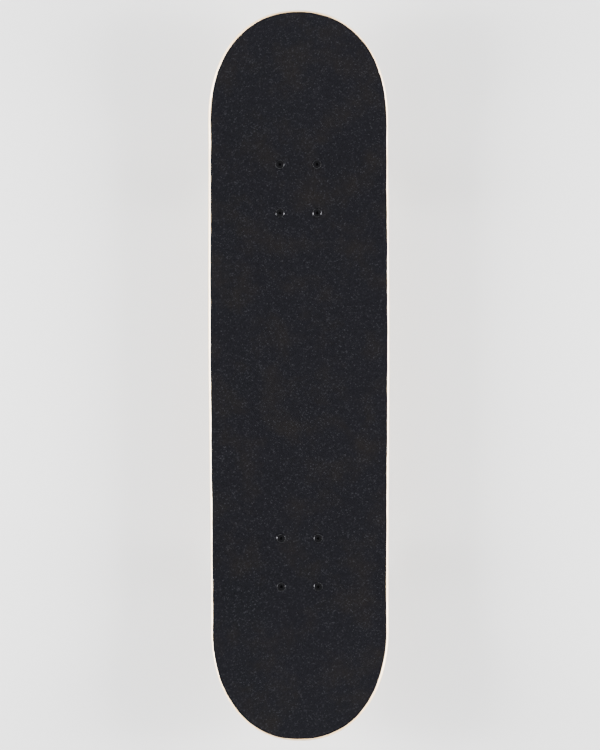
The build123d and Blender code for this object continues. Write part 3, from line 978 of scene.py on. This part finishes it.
def metal(name, tones, mottle_mm, shine, relief_mm):
    """A bare metal: two tones in a mottle, a roughness between two values, and a shallow relief."""
    material, tree, place, _ = start(name)
    mottle = add(
        tree,
        "ShaderNodeTexNoise",
        {"Vector": place, "Scale": per_mm(mottle_mm), "Detail": 5.0, "Roughness": 0.6},
    )
    pits = add(
        tree, "ShaderNodeTexNoise", {"Vector": place, "Scale": per_mm(mottle_mm / 6), "Detail": 3.0}
    )
    tone = add(
        tree,
        "ShaderNodeMix",
        {0: mottle.outputs["Fac"], 6: colour(tones[0]), 7: colour(tones[1])},
        data_type="RGBA",
    )
    rough = add(
        tree, "ShaderNodeMapRange", {0: mottle.outputs["Fac"], 1: 0.3, 2: 0.7, 3: shine[0], 4: shine[1]}
    )
    relief = add(
        tree, "ShaderNodeBump", {"Height": pits.outputs["Fac"], "Strength": 0.6, "Distance": relief_mm * MM}
    )
    shader = add(
        tree,
        "ShaderNodeBsdfPrincipled",
        {
            "Base Color": tone.outputs[2],
            "Metallic": 1.0,
            "Roughness": rough.outputs[0],
            "Normal": relief.outputs[0],
        },
    )
    finish(tree, shader)
    return material


cast_aluminium = metal("Aluminium_cast_tumbled", ("#B9BABC", "#D3D4D5"), 6.0, (0.32, 0.5), 0.06)
zinc_steel = metal("Steel_zinc_plated", ("#A9AFB5", "#C6CACD"), 3.0, (0.24, 0.38), 0.01)
ground_steel = metal("Steel_ground", ("#9A9C9F", "#B8BABC"), 1.5, (0.2, 0.32), 0.006)
bearing_steel = metal("Bearing_steel_polished", ("#C9CBCD", "#DCDDDE"), 4.0, (0.08, 0.16), 0.002)
black_steel = metal("Steel_black_oxide", ("#1E1E20", "#2E2E31"), 2.0, (0.34, 0.5), 0.01)

# %% [markdown]
# Bolt heads
#
# The bolts are black oxide steel like the nuts. The chamfer round each head is rubbed by the grit as the
# bolt is driven, so it is smoother and brighter than the face, in broken arcs, and it mirrors the lights on
# the two sides as thin crescents. The rubbing follows the uv map, which holds the distance from the middle
# of the head, and a noise breaks it up.

# %% Bolt finish

rub_from, rub_full = 4.3, 4.42
rub_depth = 0.6
rubbed_bolt, tree, place, skin = start("Steel_black_oxide_rim_rubbed")
reach = add(tree, "ShaderNodeSeparateXYZ", {0: skin})
rim = add(tree, "ShaderNodeMapRange", {0: reach.outputs[0], 1: rub_from, 2: rub_full, 3: 0.0, 4: 1.0})
above = add(tree, "ShaderNodeSeparateXYZ", {0: place})
on_top = add(
    tree,
    "ShaderNodeMath",
    {0: above.outputs[2], 1: (deck_bottom + deck_thickness - rub_depth) * MM},
    operation="GREATER_THAN",
)
patch = add(tree, "ShaderNodeTexNoise", {"Vector": place, "Scale": per_mm(3.2), "Detail": 3.0})
patch_share = add(tree, "ShaderNodeMapRange", {0: patch.outputs["Fac"], 1: 0.40, 2: 0.60, 3: 0.25, 4: 1.0})
top_rim = add(tree, "ShaderNodeMath", {0: rim.outputs[0], 1: on_top.outputs[0]}, operation="MULTIPLY")
rubbed = add(tree, "ShaderNodeMath", {0: top_rim.outputs[0], 1: patch_share.outputs[0]}, operation="MULTIPLY")
tone = add(
    tree,
    "ShaderNodeMix",
    {0: rubbed.outputs[0], 6: colour("#020203"), 7: colour("#38383A")},
    data_type="RGBA",
)
smooth = add(tree, "ShaderNodeMapRange", {0: rubbed.outputs[0], 1: 0.0, 2: 1.0, 3: 0.7, 4: 0.18})
finish(
    tree,
    add(
        tree,
        "ShaderNodeBsdfPrincipled",
        {
            "Base Color": tone.outputs[2],
            "Metallic": rubbed.outputs[0],
            "Roughness": smooth.outputs[0],
            "Specular IOR Level": 0.04,
        },
    ),
)
print("bolt nodes:", len(tree.nodes))

# %% [markdown]
# Urethane, nylon and moulded plastics
#
# Poured urethane is dense and slightly translucent, with a satin skin. The wheels are off-white and pick up
# a grey film of dust where they roll. The bushings are clear amber and nearly glossy. The nylon inserts and
# bearing cages are small moulded parts with a plain satin skin.

# %% Urethane and nylon


def plastic(name, tones, cloud_mm, roughness, depth, weight, relief_mm):
    """A moulded or poured plastic: clouded colour, a little light inside it, and a fine skin."""
    material, tree, place, _ = start(name)
    cloud = add(tree, "ShaderNodeTexNoise", {"Vector": place, "Scale": per_mm(cloud_mm), "Detail": 4.0})
    fine = add(tree, "ShaderNodeTexNoise", {"Vector": place, "Scale": per_mm(0.6), "Detail": 3.0})
    tone = add(
        tree,
        "ShaderNodeMix",
        {0: cloud.outputs["Fac"], 6: colour(tones[0]), 7: colour(tones[1])},
        data_type="RGBA",
    )
    rough = add(
        tree,
        "ShaderNodeMapRange",
        {0: cloud.outputs["Fac"], 1: 0.3, 2: 0.7, 3: roughness - 0.06, 4: roughness + 0.08},
    )
    relief = add(
        tree,
        "ShaderNodeBump",
        {"Height": fine.outputs["Fac"], "Strength": 0.5, "Distance": relief_mm * MM},
    )
    shader = add(
        tree,
        "ShaderNodeBsdfPrincipled",
        {
            "Base Color": tone.outputs[2],
            "Roughness": rough.outputs[0],
            "IOR": 1.5,
            "Subsurface Weight": weight,
            "Subsurface Radius": (1.0, 0.7, 0.45),
            "Subsurface Scale": depth * MM,
            "Normal": relief.outputs[0],
        },
    )
    finish(tree, shader)
    return material


bushing_urethane = plastic("Urethane_poured_amber", ("#D07A1E", "#E39A3C"), 8.0, 0.3, 3.0, 0.35, 0.01)
cup_urethane = plastic("Urethane_moulded_black", ("#161617", "#232325"), 4.0, 0.45, 1.0, 0.0, 0.01)
nylon = plastic("Nylon_moulded_blue", ("#2F5FA8", "#3C70BC"), 3.0, 0.4, 1.0, 0.1, 0.01)

# %% [markdown]
# Wheel urethane with road film
#
# The same poured urethane in off-white. Distance from the wheel's own axle can't be read on Object
# coordinates once four wheels stand in four places, so the film follows the uv map instead: its first
# value is the distance along the section, and the riding face lies in the middle of it.

# %% Wheel finish

section = np.array(wheel_rows)
section_travel = np.concatenate([[0], np.cumsum(np.hypot(*np.diff(section, axis=0).T))])
ride_middle = float(section_travel[len(section_travel) // 2])
print("riding face is", round(ride_middle, 1), "mm along the section")

wheel_urethane, tree, place, skin = start("Urethane_poured_off_white")
reach = add(tree, "ShaderNodeSeparateXYZ", {0: skin})
off_middle = add(tree, "ShaderNodeMath", {0: reach.outputs[0], 1: ride_middle}, operation="SUBTRACT")
distance = add(tree, "ShaderNodeMath", {0: off_middle.outputs[0]}, operation="ABSOLUTE")
rides = add(tree, "ShaderNodeMapRange", {0: distance.outputs[0], 1: 8.0, 2: 11.5, 3: 1.0, 4: 0.0})
smear = add(
    tree,
    "ShaderNodeTexNoise",
    {"Vector": place, "Scale": per_mm(5.0), "Detail": 6.0, "Roughness": 0.7},
)
smear_share = add(tree, "ShaderNodeMapRange", {0: smear.outputs["Fac"], 1: 0.35, 2: 0.75, 3: 0.12, 4: 0.6})
film = add(tree, "ShaderNodeMath", {0: rides.outputs[0], 1: smear_share.outputs[0]}, operation="MULTIPLY")
cloud = add(tree, "ShaderNodeTexNoise", {"Vector": place, "Scale": per_mm(14.0), "Detail": 3.0})
body = add(
    tree,
    "ShaderNodeMix",
    {0: cloud.outputs["Fac"], 6: colour("#DEDACD"), 7: colour("#D3CEBF")},
    data_type="RGBA",
)
tone = add(
    tree,
    "ShaderNodeMix",
    {0: film.outputs[0], 6: body.outputs[2], 7: colour("#8C877C")},
    data_type="RGBA",
)
rough = add(tree, "ShaderNodeMapRange", {0: film.outputs[0], 1: 0.0, 2: 0.6, 3: 0.32, 4: 0.62})
relief = add(
    tree, "ShaderNodeBump", {"Height": smear.outputs["Fac"], "Strength": 0.3, "Distance": 0.03 * MM}
)
finish(
    tree,
    add(
        tree,
        "ShaderNodeBsdfPrincipled",
        {
            "Base Color": tone.outputs[2],
            "Roughness": rough.outputs[0],
            "IOR": 1.5,
            "Subsurface Weight": 0.25,
            "Subsurface Radius": (1.0, 0.9, 0.7),
            "Subsurface Scale": 1.5 * MM,
            "Normal": relief.outputs[0],
        },
    ),
)
print("wheel nodes:", len(tree.nodes))

# %% [markdown]
# Which piece wears which finish
#
# A name tells what a piece is made of. Each row below holds a finish, its slot in the record and the ends
# of the names that wear it, so one list covers the new pieces and the parts kept from the engineering
# model. A name that fits no row, or two, stops the script here.

# %% Dress every piece

finishes = (
    (maple, "maple", ("deck_maple", "deck")),
    (grit, "grip", ("grip_tape", "griptape")),
    (rubbed_bolt, "black_steel", ("_bolts",)),
    (black_steel, "black_steel", ("_deck_nuts", "_lock_nuts")),
    (cast_aluminium, "cast_aluminium", ("_hanger", "_baseplate")),
    (ground_steel, "chromoly", ("_axle", "_axle_rod")),
    (zinc_steel, "zinc_steel", ("_kingpin", "_kingpin_bolt", "_kingpin_nut", "_kingpin_lock_nut")),
    (zinc_steel, "zinc_steel", ("_axle_nuts", "_wheel_nuts", "_washer", "_speed_rings")),
    (zinc_steel, "zinc_steel", ("_shields", "_bearing_spacers")),
    (bearing_steel, "bearing_steel", ("_inner_races", "_outer_races", "_balls")),
    (bushing_urethane, "bushing_urethane", ("_bushing", "_board_urethane", "_road_urethane")),
    (wheel_urethane, "wheel_urethane", ("_wheel",)),
    (cup_urethane, "cup_urethane", ("_pivot_cup",)),
    (nylon, "nylon", ("_insert", "_inserts", "_cages")),
)
engineering = set(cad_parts)
dressed = 0
for piece in [item for item in bpy.data.objects if item.type == "MESH"]:
    [(material, slot_name)] = [row[:2] for row in finishes if piece.name.endswith(row[2])]
    if piece.name in engineering:
        for slot in piece.material_slots:
            slot.material = material
    else:
        piece.data.materials.clear()
        piece.data.materials.append(material)
    dressed += 1
print("pieces dressed:", dressed)

# %% [markdown]
# Floor, light and camera
#
# The board stands on a plain floor of matt grey paper, which strong light turns pale. Two soft lights hang
# high on the left and right, clear of the camera, so that no flat face mirrors them upwards. Two more stand
# low on the same sides and brighten the rounded rims. The camera looks straight down from three metres with
# a long lens, so that the raised nose and tail look little larger than the middle.

# %% Floor

half_floor = 8.0
floor_corners = half_floor * np.array([(-1, -1, 0), (1, -1, 0), (1, 1, 0), (-1, 1, 0)])
floor_mesh = bpy.data.meshes.new("floor")
floor_mesh.from_pydata(floor_corners.tolist(), [], [(0, 1, 2, 3)])
floor = bpy.data.objects.new("floor", floor_mesh)
bpy.context.collection.objects.link(floor)
paper, tree, _, _ = start("Backdrop_paper_matt")
paper_look = {"Base Color": colour("#B1B1B1"), "Roughness": 0.9, "Specular IOR Level": 0.1}
finish(tree, add(tree, "ShaderNodeBsdfPrincipled", paper_look))
floor_mesh.materials.append(paper)
print("floor is", 2 * half_floor, "m wide")

# %% Light


def soft_light(name, place, aim, size, power):
    """A white rectangular area light that points at a spot."""
    lamp = bpy.data.lights.new(name, "AREA")
    lamp.shape = "RECTANGLE"
    lamp.size, lamp.size_y = size
    lamp.energy = power
    body = bpy.data.objects.new(name, lamp)
    bpy.context.collection.objects.link(body)
    body.location = place
    body.rotation_euler = (Vector(aim) - Vector(place)).to_track_quat("-Z", "Y").to_euler()


light_reach, light_length = 1.9, 2.4
high_light, low_light, board_top = 2.5, 0.62, 0.09
high_watts, low_watts = 50, 430
for name, side, share in (("left", -1, 1.08), ("right", 1, 1.0)):
    high, low = (light_reach * side, 0, high_light), (light_reach * side, 0, low_light)
    soft_light(name + "_high", high, (0, 0, 0), (1.0, light_length), high_watts * share)
    soft_light(name + "_low", low, (0, 0, board_top), (0.7, light_length), low_watts * share)
world = bpy.data.worlds.new("studio")
bpy.context.scene.world = world
world.use_nodes = True
sky = world.node_tree.nodes["Background"]
sky.inputs["Color"].default_value = colour("#F4F6FA")
sky.inputs["Strength"].default_value = 0.54

# %% Camera

camera_height = 3.1
camera_shift = (1.0 * MM, 0.75 * MM)
lens = 129.9
roll = np.radians(-0.18)
camera_data = bpy.data.cameras.new("camera")
camera_data.lens = lens
camera_data.sensor_width = 36.0
camera_data.sensor_fit = "AUTO"
camera = bpy.data.objects.new("camera", camera_data)
bpy.context.collection.objects.link(camera)
camera.location = (*camera_shift, camera_height)
camera.rotation_euler = (0, 0, roll)
bpy.context.scene.camera = camera
print("camera", camera_height, "m up, lens", lens, "mm")
